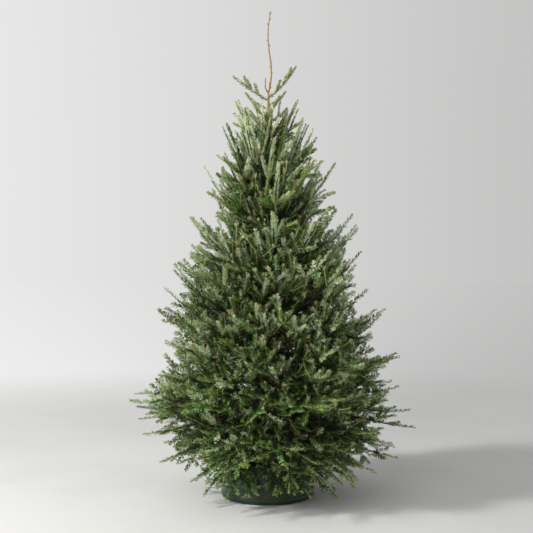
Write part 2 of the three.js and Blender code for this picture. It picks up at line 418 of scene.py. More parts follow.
def add_shapes(name, shapes, materials, replaced=(), tints=None, smooth=False):
    """A piece of many small shapes, given as vertices and faces: tints are its faces' materials."""
    mesh = bpy.data.meshes.new(name)
    vertices, faces = shapes
    mesh.from_pydata(vertices, [], faces)
    if tints is not None:
        mesh.polygons.foreach_set("material_index", tints.astype(np.int32))
    mesh.update()
    if smooth:
        mesh.shade_smooth()
    add_piece(name, mesh, materials, replaced)


def unit(vectors):
    """Rows of vectors at unit length."""
    return vectors / np.linalg.norm(vectors, axis=-1, keepdims=True)


def across_from(vectors, along):
    """The part of each vector that is square to its neighbour in along, at unit length."""
    return unit(vectors - (vectors * along).sum(-1, keepdims=True) * along)


def tubes(paths, radii, normals, sides):
    """Closed tubes along paths of one number of points each, as vertices and triangles."""
    count, rings = paths.shape[:2]
    along = unit(np.gradient(paths, axis=1))
    upright = across_from(np.broadcast_to(normals[:, None], paths.shape), along)
    sideways = np.cross(along, upright)
    turns = np.arange(sides) * 2 * np.pi / sides
    round_the_ring = (upright[:, :, None] * np.cos(turns)[:, None]
                      + sideways[:, :, None] * np.sin(turns)[:, None])
    vertices = paths[:, :, None] + round_the_ring * radii[..., None, None]
    ring, side = np.meshgrid(np.arange(rings - 1), np.arange(sides), indexing="ij")
    a = (ring * sides + side).ravel()
    b = (ring * sides + (side + 1) % sides).ravel()
    walls = np.concatenate([np.stack([a, a + sides, b], 1), np.stack([b, a + sides, b + sides], 1)])
    fan = np.arange(1, sides - 1)
    low_cap = np.stack([0 * fan, fan, fan + 1], 1)
    high_cap = low_cap[:, ::-1] + (rings - 1) * sides
    one = np.concatenate([walls, low_cap, high_cap])
    faces = one[None] + (np.arange(count) * rings * sides)[:, None, None]
    return vertices.reshape(-1, 3), faces.reshape(-1, 3)


BUD_FOOT, BUD_BELT = -0.1, 0.4  # where a bud starts and is widest, beside its length
BUD_HALF_WIDTH = 0.32


def buds(bases, directions, normals, length):
    """Pointed closed buds of eight faces, as vertices and triangles."""
    sideways = np.cross(directions, normals)
    half = BUD_HALF_WIDTH * length
    middle = bases + directions * BUD_BELT * length
    corners = [
        bases + directions * BUD_FOOT * length,
        middle + normals * half, middle + sideways * half,
        middle - normals * half, middle - sideways * half,
        bases + directions * length,
    ]
    vertices = np.stack(corners, 1)
    belt = [1, 2, 3, 4, 1]
    one = [(0, a, b) for a, b in zip(belt, belt[1:])] + [(5, b, a) for a, b in zip(belt, belt[1:])]
    faces = np.array(one)[None] + (np.arange(len(bases)) * len(corners))[:, None, None]
    return vertices.reshape(-1, 3), faces.reshape(-1, 3)


def spun(profile, steps):
    """A closed turned solid from (radius, height) points that start and end on the Z axis."""
    solid = bmesh.new()
    vertices = [solid.verts.new((radius, 0, height)) for radius, height in profile]
    edges = [solid.edges.new(pair) for pair in zip(vertices, vertices[1:])]
    bmesh.ops.spin(solid, geom=vertices + edges, cent=(0, 0, 0), axis=UP,
                   angle=2 * math.pi, steps=steps, use_merge=True)
    bmesh.ops.remove_doubles(solid, verts=solid.verts, dist=1e-6)
    bmesh.ops.recalc_face_normals(solid, faces=solid.faces)
    return solid


def soften(solid, offset, angle=30):
    """Rounds the edges that are sharper than an angle in degrees."""
    sharp = [edge for edge in solid.edges if edge.calc_face_angle(0) > math.radians(angle)]
    bmesh.ops.bevel(solid, geom=sharp, offset=offset, offset_type="OFFSET", segments=2, profile=0.5,
                    affect="EDGES", clamp_overlap=True, material=-1)


def mesh_of_solid(name, solid, sharp=40):
    """A mesh of a solid, smooth but for the edges that are sharper than an angle in degrees."""
    mesh = bpy.data.meshes.new(name)
    solid.to_mesh(mesh)
    solid.free()
    mesh.shade_smooth()
    mesh.set_sharp_from_angle(angle=math.radians(sharp))
    return mesh


# ---- growth of the crown ----

# Here and below, one name for two tuples holds rows for np.interp: places and the values there.
# Reaches are beside that of the bough's tier, and growths beside that of the twig's own bearer.
GOLDEN_ANGLE = math.radians(137.508)
LOWEST_LEVEL, HIGHEST_LEVEL = 0.72, 10.9
DENSITY, DENSITY_BY_REACH, SPACING_POWER = 12, 17, 0.6  # how close boughs stand
LOW_CROWDING = (1, 2.5), (1.4, 1)
AZIMUTH_SPREAD = 0.16
WHORL_SHARE, INNER_SHARE = 0.34, 0.28  # of the boughs: those in whorls, and those that end inside
WHORL_SPREAD, BETWEEN_SPREAD, INNER_SPREAD = 0.09, 0.3, 0.4  # of their levels
WHORL_REACHES, BETWEEN_REACHES, INNER_REACHES = (0.90, 1.04), (0.76, 1.0), (0.35, 0.65)
MOST_REACH = 1.01
BULGE, BULGE_ROUND, BULGE_UP = 0.09, 2.2, 6  # how far the outline bulges, how often round and up
FOOT_SHARE = 0.7  # how far out in the trunk a bough starts
SWAY, DIP = 0.035, 0.02
LAST_SHOOT_MORE = 0.35  # how much longer than the others a bough's last shoot is
LINE_POINTS = 13
FOOT_RADIUS, RADIUS_BY_SPAN = 0.0028, 0.005

# How twigs grow at some levels: their yearly growth, the share of a bough that is bare, degrees
# from a twig to its side twigs, how strongly tips turn up, and how far pairs of twigs roll.
HABIT_LEVELS = (1, 3, 6, 9, 11)
VIGOURS = (0.74, 0.95, 1.1, 1.4, 1.6)
BARE_SHARES = (0.30, 0.28, 0.25, 0.12, 0.05)
SIDE_ANGLES = (48, 47, 46, 42, 34)
LIFTS = (0.02, 0.32, 0.44, 0.14, 0.04)
ROLLS = (0.25, 0.38, 0.48, 0.50, 0.55)

TIP_LIFT = 0.7  # of a bough's last shoot, beside its twigs' lift
PAIR_CHANCES = (0.97, 0.52, 0)  # of each twig of a pair, by the order of the twig that bears it
EXTRA_CHANCES = (0.5, 0.2, 0)  # of one more twig at a node
EXTRA_ANGLES, EXTRA_ROLL, EXTRA_GROWTH = (0.45, 0.8), 1.1, 0.75
YOUNG_ANGLE = 0.82  # of side twigs in their first year, beside the older ones'
ANGLE_SPREAD, TWIST_SPREAD = 0.12, 0.2
SIDE_GROWTHS = (0.76, 0.86, 0.86)
MOST_YEARS = (0, 4, 2)  # of a twig, by its order
LIFT_RANGE, GROWTH_RANGE = (0.3, 1.7), (0.8, 1.2)

# The long shoots beside the leader, where along each its side shoots stand and how far those turn.
LONG_SHOOTS = {"top_shoot_left": (0.25, 0.45, 0.55), "top_shoot_right": (0.30, 0.50, 0.68)}
SIDE_TURNS, SIDE_LENGTH = (-1.1, 0.5, -0.7), 0.055
SIDE_OUT, SIDE_ROUND, SIDE_RISE = 0.35, 0.5, 0.9  # which way they point
LONG_BEND, LONG_BEND_RISE = 0.55, 0.05
ROOT_INSIDE, TIP_INSIDE = 0.011, 0.006  # how far inside its node a long shoot starts and ends
RING_SHOOTS, RING_TURN, RING_LENGTHS = 8, 0.6, (0.10, 0.14)  # the short shoots below them
RING_RADIUS, RING_DROP, RING_STEP = 0.006, 0.012, 0.016
RING_RISE, RING_TIP_OUT = 0.35, 0.7
TRUNK_TWIG_HEIGHTS = np.linspace(0.42, 1.72, 220)
TRUNK_TWIG_LENGTHS, TRUNK_TWIG_RISES = (0.09, 0.15), (0.2, 0.9)
TRUNK_TWIG_FOOT = 0.8  # how far out in the trunk they start

# A year's growth. The three points are those of a quadratic curve, and the normal is square to the
# spray that the shoot lies in. Order is 0 in a bough, 1 in its side twigs and 2 in theirs.
Shoot = collections.namedtuple("Shoot", "start bend end normal age order tier")
# How the twigs of one bough grow.
Habit = collections.namedtuple("Habit", "side_angle lift roll tier")
# A bough's centre line, from the trunk out, with its normal at the trunk.
Bough = collections.namedtuple("Bough", "points normal foot_radius")


def turned(vector, axis, angle):
    return Matrix.Rotation(angle, 3, axis) @ vector


def outward_at(azimuth):
    return Vector((math.cos(azimuth), math.sin(azimuth), 0))


class Crown:
    """Grows all the shoots and boughs of the tree. The same seed gives the same tree."""

    def __init__(self, seed, bough_count, growth):
        self.random = np.random.default_rng(seed)
        self.growth = growth
        self.shoots = []
        self.boughs = []
        for index, level in enumerate(self.levels(bough_count)):
            azimuth = index * GOLDEN_ANGLE + self.random.normal(0, AZIMUTH_SPREAD)
            kind = self.random.random()
            if kind < WHORL_SHARE:
                level = round(level) + self.random.normal(0, WHORL_SPREAD)
                reaches = WHORL_REACHES
            elif kind < 1 - INNER_SHARE:
                level += self.random.uniform(-BETWEEN_SPREAD, BETWEEN_SPREAD)
                reaches = BETWEEN_REACHES
            else:
                level += self.random.uniform(-INNER_SPREAD, INNER_SPREAD)
                reaches = INNER_REACHES
            self.grow_bough(level, azimuth, reaches)
        self.grow_top()
        self.grow_trunk_twigs()

    def levels(self, count):
        """Where boughs leave the trunk: more of them where they reach further out."""
        grid = np.linspace(LOWEST_LEVEL, HIGHEST_LEVEL, 300)
        spacing = np.interp(grid, np.arange(1, TIER_COUNT + 1), np.gradient(TIERS[:, 1]))
        reaches = np.array([tier_at(level)[2:].mean() for level in grid])
        density = (DENSITY + DENSITY_BY_REACH * reaches) * spacing**SPACING_POWER
        density *= np.interp(grid, *LOW_CROWDING)
        total = np.cumsum(density)
        return np.interp((np.arange(count) + 0.5) / count, total / total[-1], grid)

    def grow_bough(self, level, azimuth, reaches):
        """A bough of yearly shoots, with side twigs on all but its bare foot."""
        level = min(max(level, LOWEST_LEVEL), HIGHEST_LEVEL)
        row = tier_at(level)
        root, tip = row[:2]
        around = (BULGE_ROUND * math.cos(azimuth), BULGE_ROUND * math.sin(azimuth))
        bulge = noise.noise(Vector((*around, BULGE_UP * root)))
        share = self.random.uniform(*reaches) * (1 + BULGE * bulge)
        reach = reach_at(row, azimuth) * min(share, MOST_REACH)
        foot = trunk_at(root)[2] * FOOT_SHARE
        outward = outward_at(azimuth)
        across = Vector((-outward.y, outward.x, 0))
        sway = self.random.normal(0, SWAY) * reach
        dip = self.random.normal(0, DIP) * reach

        def place(along):
            radius = foot + (reach - foot) * along
            height = root + (tip - root) * (radius / reach) ** BOUGH_CURVE
            wave = math.sin(math.pi * along)
            return outward * radius + across * (sway * wave) + UP * (height + dip * wave)

        vigour, bare, side_angle, lift, roll_spread = (
            float(np.interp(level, HABIT_LEVELS, values))
            for values in (VIGOURS, BARE_SHARES, SIDE_ANGLES, LIFTS, ROLLS)
        )
        growth = self.growth * vigour
        span = math.hypot(reach - foot, tip - root)
        years = max(2, round(span / growth))
        tier = min(max(round(level), 1), TIER_COUNT)
        habit = Habit(math.radians(side_angle), lift, roll_spread, tier)
        roll = self.random.normal(0, roll_spread)
        nodes = [*(year / (years + LAST_SHOOT_MORE) for year in range(years)), 1]
        for year in range(years):
            first, last = nodes[year:year + 2]
            start, middle, end = place(first), place((first + last) / 2), place(last)
            bend = middle * 2 - (start + end) / 2
            direction = (end - bend).normalized()
            normal = turned(direction.cross(across).normalized(), direction, roll)
            age = years - 1 - year
            if not age:
                end = bend + (direction + UP * lift * TIP_LIFT).normalized() * (end - bend).length
            self.shoots.append(Shoot(start, bend, end, normal, age, 0, tier))
            if age and last > bare:
                self.grow_sides(end, direction, normal, age, growth, 0, habit)
        points = [place(share) for share in np.linspace(0, 1, LINE_POINTS)]
        foot_radius = FOOT_RADIUS + RADIUS_BY_SPAN * span
        self.boughs.append(Bough(points, outward.cross(across), foot_radius))

    def grow_sides(self, node, direction, normal, age, growth, order, habit):
        """The side twigs at a node: a pair in the plane of the spray, and now and then one more."""
        step = growth * SIDE_GROWTHS[order]
        normal = turned(normal, direction, self.random.normal(0, habit.roll))
        side_angle = habit.side_angle * (YOUNG_ANGLE if age == 1 else 1)
        for side in (1, -1):
            if self.random.random() < PAIR_CHANCES[order]:
                angle = side * (side_angle + self.random.normal(0, ANGLE_SPREAD))
                self.grow_twig(node, direction, normal, angle, age, step, order + 1, habit)
        if self.random.random() < EXTRA_CHANCES[order]:
            angle = self.random.choice((1, -1)) * self.random.uniform(*EXTRA_ANGLES)
            rolled = turned(normal, direction, self.random.normal(0, EXTRA_ROLL))
            self.grow_twig(node, direction, rolled, angle, min(age, 2), step * EXTRA_GROWTH,
                           order + 1, habit)

    def grow_twig(self, start, direction, normal, angle, age, step, order, habit):
        """A side twig of yearly shoots, which has side twigs of its own."""
        normal = turned(normal, direction, self.random.normal(0, TWIST_SPREAD))
        direction = turned(direction, normal, angle)
        years = min(age, MOST_YEARS[order])
        lift = habit.lift * self.random.uniform(*LIFT_RANGE)
        for left in range(years - 1, -1, -1):
            reach = step * self.random.uniform(*GROWTH_RANGE)
            bend = start + direction * (reach / 2)
            direction = (direction + UP * lift / (1 + left)).normalized()
            end = bend + direction * (reach / 2)
            self.shoots.append(Shoot(start, bend, end, normal, left, order, habit.tier))
            if left:
                self.grow_sides(end, direction, normal, left, step, order, habit)
            start = end

    def grow_top(self):
        """The long shoots beside the leader, where the frame has them, and the short ones below."""
        for name, side_places in LONG_SHOOTS.items():
            low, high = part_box(name)
            tip_x = max(low.x, high.x, key=abs)
            side = math.copysign(1, tip_x)
            root = Vector((0, 0, low.z + ROOT_INSIDE))
            tip = Vector((tip_x, 0, high.z - TIP_INSIDE))
            bend = Vector((tip_x * LONG_BEND, 0, root.z + LONG_BEND_RISE))
            middle = (root + bend * 2 + tip) / 4
            normal = Vector((-side, 0, 1)).normalized()
            self.shoots.append(Shoot(root, (root + bend) / 2, middle, normal, 1, 0, TOP_TIER))
            self.shoots.append(Shoot(middle, (bend + tip) / 2, tip, normal, 0, 0, TOP_TIER))
            for place, turn in zip(side_places, SIDE_TURNS):
                rest = 1 - place
                start = root * rest**2 + bend * 2 * place * rest + tip * place**2
                direction = Vector((side * SIDE_OUT, turn * SIDE_ROUND, SIDE_RISE)).normalized()
                end = start + direction * SIDE_LENGTH
                self.shoots.append(Shoot(start, (start + end) / 2, end, normal, 0, 1, TOP_TIER))
        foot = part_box("top_shoot_left")[0].z - RING_DROP
        for index in range(RING_SHOOTS):
            outward = outward_at(index * GOLDEN_ANGLE + RING_TURN)
            reach = self.random.uniform(*RING_LENGTHS)
            start = outward * RING_RADIUS + UP * (foot - RING_STEP * index)
            self.grow_short(start, outward + UP * RING_RISE, outward * RING_TIP_OUT + UP, reach,
                            UP - outward, TOP_TIER)

    def grow_trunk_twigs(self):
        """Short twigs straight from the trunk, between the boughs."""
        for index, height in enumerate(TRUNK_TWIG_HEIGHTS):
            outward = outward_at(index * GOLDEN_ANGLE)
            start = outward * trunk_at(height)[2] * TRUNK_TWIG_FOOT + UP * height
            reach = self.random.uniform(*TRUNK_TWIG_LENGTHS)
            rise = self.random.uniform(*TRUNK_TWIG_RISES)
            tier = round(float(np.interp(height, TIERS[:, 0], range(1, TIER_COUNT + 1))))
            self.grow_short(start, outward + UP * rise * 0.5, outward + UP * rise, reach,
                            UP - outward * 0.5, tier)

    def grow_short(self, start, first_way, last_way, reach, normal, tier):
        """One young shoot that sets out one way and ends another."""
        bend = start + first_way.normalized() * reach * 0.5
        end = bend + last_way.normalized() * reach * 0.5
        self.shoots.append(Shoot(start, bend, end, normal.normalized(), 0, 1, tier))


@functools.lru_cache(maxsize=2)
def grown(seed, bough_count, growth):
    return Crown(seed, bough_count, growth)


def current_crown():
    """The crown of the present settings, grown once for all the steps."""
    settings = bpy.context.scene.fir_crown
    return grown(settings.seed, settings.boughs, settings.growth)


class ShootArrays:
    """The facts of many shoots as arrays, one row a shoot."""

    def __init__(self, shoots):
        for name, values in zip(Shoot._fields, zip(*shoots)):
            setattr(self, name, np.array(values))

    def length(self):
        return (np.linalg.norm(self.bend - self.start, axis=1)
                + np.linalg.norm(self.end - self.bend, axis=1))

    def place(self, rows, along):
        """The places that lie along the rows' shoots by a share of each."""
        share = along[:, None]
        rest = 1 - share
        return (self.start[rows] * rest**2 + self.bend[rows] * 2 * share * rest
                + self.end[rows] * share**2)

    def direction(self, rows, along):
        """Which way the rows' shoots run there."""
        share = along[:, None]
        first, last = (self.bend - self.start)[rows], (self.end - self.bend)[rows]
        return unit(first * (1 - share) + last * share)


# ---- needles ----

NEEDLES_A_METRE = np.array((900, 640, 400, 250, 130))  # by the shoot's age, as a proportion
NEEDLES_BY_HEIGHT = (1.2, 1.8), (1, 1.5)
TOPMOST_NEEDLES = 2.2  # how many more the shoots beside the leader have
MOST_NEEDLES = 99000  # in one piece
TINTS = list(NEEDLE_TINTS)
DEEP_AND_SHADE, FRESH, PALE, OLD_AND_SHADE = (TINTS.index(tint) for tint in ("deep", "fresh", "pale", "old"))
TINT_HEIGHTS = (0.0, 0.9, 1.5, 1.8, 1.95)
# How often each tint but the last is dealt to a young shoot at those heights, one row a tint.
TINT_SHARES = (
    (0.26, 0.20, 0.14, 0.08, 0.00),
    (0.40, 0.36, 0.34, 0.22, 0.00),
    (0.12, 0.27, 0.30, 0.26, 0.10),
    (0.14, 0.17, 0.19, 0.22, 0.30),
    (0.00, 0.00, 0.03, 0.20, 0.80),
)
# Chances that a shoot is deep green, has old needles, and turns their undersides outward. The deep
# green deep in the crown is partly the real darker green of shade needles and partly painted shade.
DEEP_SHADE_BY_DEPTH, DEEP_SHADE_BY_HEIGHT = ((0.5, 0.9), (0.95, 0)), ((1.2, 1.6), (1, 0.5))
# partly painted shade: shoots a year old or more mostly get the near-black old tint
OLD_AND_SHADE_CHANCES = np.array((0, 0.65, 0.98, 1))  # by its age
TURNED_BY_RISE = (0.2, 0.8), (0.2, 0.55)

LOW_ROW_SHARE = 0.34  # share of the needles that stand below their stem
UPSWEEP_BY_HEIGHT = (0.5, 1.7), (0, 1)
TURN_POWER = 1.2  # above 1, the upper needles crowd to the sides
LEAN_BY_HEIGHT = (0.2, 0.9, 1.7), (56, 54, 38)  # degrees from the stem to a needle
LEAN_ALONG = (0, 0.6, 1), (1.15, 1, 0.7)
TOPMOST_LEAN, LEAN_SPREAD = 40, 0.05
FORWARD, TUMBLE, TOPMOST_TUMBLE = 0.4, 0.16, 0.3  # how faces turn along the stem and at random
LENGTH_ALONG = (0, 0.1, 0.88, 1), (0.8, 1, 1, 0.75)
LENGTH_BY_HEIGHT = (0.2, 0.8, 1.3, 1.7, 1.95), (0.70, 0.97, 1.0, 0.80, 0.68)
LENGTH_RANGE = (0.93, 1.06)
FOOT_HALF_WIDTH, TIP_HALF_WIDTH = 0.32, 0.44  # beside the needle's width
STEM_SHARE, STEM_BY_AGE = 0.3, 0.9  # how far out needles start, beside their width
LIGHT_END, LIGHT_END_HEIGHT = 0.22, 0.55  # a young shoot's end is pale above it, else fresh
# Shares of needles that show their undersides: on shoots that turn them outward, on the topmost
# shoots and in the low row.
TURNED_SIDES, TOPMOST_SIDES, LOW_SIDES = 0.88, 0.75, 0.5


def deal_tints(shoots, random):
    """The tint of each shoot's needles, by its height and age and how deep in the crown it is. The
    dark deep tint deep in the crown and the near-black old tint are partly real and partly painted
    shade.
    """
    height = shoots.end[:, 2]
    number = len(height)
    rim = np.interp(height, TIERS[:, 1], TIERS[:, 2:].mean(1))
    depth = np.hypot(shoots.end[:, 0], shoots.end[:, 1]) / rim
    shares = np.array([np.interp(height, TINT_HEIGHTS, row) for row in TINT_SHARES])
    running = np.cumsum(shares / shares.sum(0), 0)
    tints = (random.random(number) > running).sum(0).clip(0, len(shares) - 1)
    # partly painted shade: shoots deep in the crown, and less often those high up, get the dark
    # deep tint
    shade = np.interp(depth, *DEEP_SHADE_BY_DEPTH) * np.interp(height, *DEEP_SHADE_BY_HEIGHT)
    tints[random.random(number) < shade] = DEEP_AND_SHADE
    tints[shoots.tier == TOP_TIER] = PALE
    # partly painted shade: older shoots, which lie inside the sprays, get the near-black old tint
    aged_and_shaded = random.random(number) < OLD_AND_SHADE_CHANCES[shoots.age.clip(0, 3)]
    return np.where(aged_and_shaded & (shoots.tier < TIER_COUNT), OLD_AND_SHADE, tints)


def show_undersides(shoots, random):
    """Which young shoots turn most of their needles' undersides outward."""
    rise = unit(shoots.end - shoots.bend)[:, 2]
    return (random.random(len(rise)) < np.interp(rise, *TURNED_BY_RISE)) & (shoots.age == 0)


def needles(shoots, counts, tints, turned_out, settings, random):
    """Flat needles round each shoot, as vertices, triangles and tints.

    None stands straight below its stem, which shows there, but on the topmost shoots they stand all
    round it. A young shoot's end is lighter.
    """
    rows = np.repeat(np.arange(len(counts)), counts)
    number = len(rows)
    topmost = shoots.tier[rows] == TOP_TIER
    first = np.cumsum(counts) - counts
    along = (np.arange(number) - first[rows] + random.random(number)) / counts[rows]
    base = shoots.place(rows, along)
    stem = shoots.direction(rows, along)
    upward = across_from(shoots.normal[rows], stem)
    sideways = np.cross(stem, upward)
    height = base[:, 2]

    # A needle's turn from straight up round its stem, in degrees.
    high = np.interp(height, *UPSWEEP_BY_HEIGHT)
    low_row = random.random(number) < LOW_ROW_SHARE
    spread = random.random(number)
    below = 93 + (32 + 10 * high) * spread
    above = 92 - (88 - 8 * high) * spread**TURN_POWER
    turn = np.radians(np.where(low_row, below, above))
    turn *= np.where(random.random(number) < 0.5, 1, -1)
    turn = np.where(topmost, 2 * math.pi * spread, turn)

    lean = np.where(topmost, TOPMOST_LEAN, np.interp(height, *LEAN_BY_HEIGHT))
    lean = np.radians(lean * np.interp(along, *LEAN_ALONG))
    lean += random.normal(0, LEAN_SPREAD, number)
    outward = upward * np.cos(turn)[:, None] + sideways * np.sin(turn)[:, None]
    pointing = stem * np.cos(lean)[:, None] + outward * np.sin(lean)[:, None]
    tumble = np.where(topmost, TOPMOST_TUMBLE, TUMBLE)[:, None]
    face = upward + stem * FORWARD + random.normal(0, 1, pointing.shape) * tumble
    width = np.cross(pointing, across_from(face, pointing)) * settings.needle_width
    reach = settings.needle_length * np.interp(along, *LENGTH_ALONG)
    reach = reach * random.uniform(*LENGTH_RANGE, number) * np.interp(height, *LENGTH_BY_HEIGHT)
    years = np.where(shoots.order == 0, shoots.age, 0)
    stem_radius = settings.needle_width * STEM_SHARE * (1 + STEM_BY_AGE * years)[rows]
    base = base + outward * stem_radius[:, None]
    tip = base + pointing * reach[:, None]
    at_foot, at_tip = width * FOOT_HALF_WIDTH, width * TIP_HALF_WIDTH
    corners = np.stack([base + at_foot, base - at_foot, tip - at_tip, tip + at_tip], 1)
    faces = np.array([(0, 3, 2), (0, 2, 1)])[None] + (np.arange(number) * 4)[:, None, None]

    light_end = (shoots.age[rows] == 0) & (along > 1 - LIGHT_END * random.random(number))
    light = np.where(height > LIGHT_END_HEIGHT, PALE, FRESH)
    tint = np.where(light_end, light, tints[rows])
    chance = np.where(topmost, TOPMOST_SIDES, TURNED_SIDES * turned_out[rows])
    underside = random.random(number) < np.maximum(chance, LOW_SIDES * low_row)
    return corners.reshape(-1, 3), faces.reshape(-1, 3), np.repeat(tint * 2 + underside, 2)


@functools.lru_cache(maxsize=1)
def needle_finishes():
    """Two finishes for each of TINTS: that of the needles' upper sides and of their undersides."""
    settings = bpy.context.scene.fir_needles
    return [
        plain_finish(f"Needles {tint} {side}", getattr(settings, f"{tint}_{side}"), roughness)
        for tint in TINTS
        for side, roughness in (("upper", 0.42), ("under", 0.6))
    ]


class FIR_OT_needles(bpy.types.Operator):
    """Dresses every shoot with needles, one piece for each tier of the crown"""

    bl_idname = "fir.needles"
    bl_label = "Needles"

    def execute(self, context):
        settings = context.scene.fir_needles
        random = np.random.default_rng(context.scene.fir_crown.seed + 1)
        everything = ShootArrays(current_crown().shoots)
        wanted = everything.length() * NEEDLES_A_METRE[everything.age.clip(0, 4)]
        wanted *= np.interp(everything.end[:, 2], *NEEDLES_BY_HEIGHT)
        wanted *= np.where(everything.tier == TOP_TIER, TOPMOST_NEEDLES, 1)
        wanted *= settings.count / wanted.sum()
        counts = np.floor(wanted + random.random(len(wanted))).astype(int)
        tints = deal_tints(everything, random)
        turned_out = show_undersides(everything, random)
        for tier in range(1, TOP_TIER + 1):
            chosen = everything.tier == tier
            if counts[chosen].sum() > MOST_NEEDLES:
                raise RuntimeError(f"tier {tier} has more needles than one piece may hold")
            shoots = ShootArrays([shoot for shoot in current_crown().shoots if shoot.tier == tier])
            *shapes, sides = needles(shoots, counts[chosen], tints[chosen], turned_out[chosen],
                                     settings, random)
            used, sides = np.unique(sides, return_inverse=True)
            top = tier == TOP_TIER
            add_shapes(
                "needles_top_shoots" if top else f"needles_tier_{tier}",
                shapes,
                [needle_finishes()[i] for i in used],
                nodes_of("top_shoot_") if top else nodes_of(f"foliage_{tier}_"),
                sides,
            )
        return {"FINISHED"}


# ---- twigs, buds and boughs ----

STOUTNESS_BY_HEIGHT = (0.4, 1.6), (0.74, 1.25)
TIP_SHARE, YEARLY_GIRTH = 0.8, 0.42  # a young twig's tip and each year's growth, beside its foot
BUD_LENGTH_BY_HEIGHT = (0.5, 1.6), (0.6, 1)
BOUGH_RINGS, BOUGH_SIDES = 22, 8
BOUGH_END = 0.86  # where along its centre line a bough is as thin as a twig
BOUGH_TAPER, LEAST_BOUGH_RADIUS = 0.8, 0.0012
COLLAR = 1.25  # a bough's first ring beside the next
LUMPS_A_METRE, LUMP_DEPTH = 55, 0.22


class FIR_OT_twigs(bpy.types.Operator):
    """Lays a thin stem along every shoot, and puts a bud on each young tip"""

    bl_idname = "fir.twigs"
    bl_label = "Twigs and buds"

    def execute(self, context):
        settings = context.scene.fir_crown
        shoots = ShootArrays(current_crown().shoots)
        rows = np.arange(len(shoots.age))
        paths = [shoots.place(rows, np.full(len(rows), share)) for share in (0, 0.5, 1)]
        stout = settings.twig_radius * np.interp(shoots.end[:, 2], *STOUTNESS_BY_HEIGHT)
        foot = stout * (1 + YEARLY_GIRTH * shoots.age)
        tip = stout * (TIP_SHARE + YEARLY_GIRTH * (shoots.age - 1).clip(0))
        radii = np.stack([foot, (foot + tip) / 2, tip], 1)
        twigs = tubes(np.stack(paths, 1), radii, shoots.normal, sides=3)
        barks = [
            plain_finish("Young twig bark", settings.young_bark, 0.6),
            plain_finish("Second year twig bark", settings.middle_bark, 0.7),
            plain_finish("Old twig bark", settings.old_bark, 0.8),
        ]
        tints = np.repeat(shoots.age.clip(0, len(barks) - 1), len(twigs[1]) // len(rows))
        add_shapes("twigs", twigs, barks, tints=tints)

        tips = np.flatnonzero(shoots.age == 0)
        directions = shoots.direction(tips, np.ones(len(tips)))
        normals = across_from(shoots.normal[tips], directions)
        ends = shoots.end[tips]
        lengths = settings.bud_length * np.interp(ends[:, 2], *BUD_LENGTH_BY_HEIGHT)[:, None]
        scales = plain_finish("Bud scales", settings.bud_scales, 0.5)
        add_shapes("buds", buds(ends, directions, normals, lengths), [scales])
        return {"FINISHED"}


class FIR_OT_boughs(bpy.types.Operator):
    """Makes the woody part of every bough, knobbly and tapering from the trunk out"""

    bl_idname = "fir.boughs"
    bl_label = "Boughs"

    def execute(self, context):
        stem = context.scene.fir_stem
        boughs = current_crown().boughs
        shares = np.linspace(0, BOUGH_END, BOUGH_RINGS)
        knots = np.linspace(0, 1, LINE_POINTS)
        paths = np.array([
            np.stack([np.interp(shares, knots, values) for values in np.transpose(bough.points)], 1)
            for bough in boughs
        ])
        foot = np.array([bough.foot_radius for bough in boughs])[:, None]
        radii = foot * (1 - shares) ** BOUGH_TAPER + LEAST_BOUGH_RADIUS
        radii[:, 0] *= COLLAR
        normals = np.array([bough.normal for bough in boughs])
        vertices, faces = tubes(paths, radii, normals, BOUGH_SIDES)
        noise.seed_set(context.scene.fir_crown.seed + 1)  # else noise vectors follow the clock
        lumps = np.array([noise.noise_vector(Vector(point) * LUMPS_A_METRE) for point in vertices])
        vertices += lumps * np.repeat(radii.ravel(), BOUGH_SIDES)[:, None] * LUMP_DEPTH
        finish = bark_finish("Bough bark", stem, stem.bough_bark)
        add_shapes("boughs", (vertices, faces), [finish], nodes_of("bough_"),
                   smooth=True)
        return {"FINISHED"}


# ---- trunk ----

TRUNK_RINGS = 420
PLATES, LUMPS = Vector((40, 40, 14)), Vector((12, 12, 9))  # of bark, in a metre
PLATE_SHARE, LUMP_SHARE, SUNK = 0.8, 0.7, 0.4  # of the bark's relief
PLATE_FRACTAL = (0.9, 2.1, 4)  # how fast its steps fade, how much finer each is, how many
FULL_RELIEF_RADIUS = 0.03  # a stem thinner than this has less relief
# Above the foot of the long shoots: where the smooth bark starts, and where the bare shoots do.
LEADER_RISE, BARE_RISE = 0.03, 0.045
# How far each bare shoot's tip lies to the right and to the back, and how high it rises.
BARE_SHOOTS = np.array([(-0.014, 0.004, 0.074), (0.004, -0.008, 0.046)])
BARE_BEND = (1.1, 1.1, 0.35)  # its middle point beside its tip
BARE_RADII = (0.0036, 0.0031, 0.0022)
ALL_SMOOTH = 0.3  # bark that starts to turn smooth this far below is smooth on the bare shoots
LEADER_BUDS = 15
BUDS_ABOVE_FOOT, BUDS_BELOW_TIP = 0.02, 0.012
BUD_RISE, BUD_DEPTH = 0.9, 0.55  # how steeply they point, and how far out in the leader they start
END_BUD_DROP = 0.006
END_BUDS = ((0, 0), (0.5, 0.2), (-0.45, 0.3))  # how far the buds on the leader's tip spread


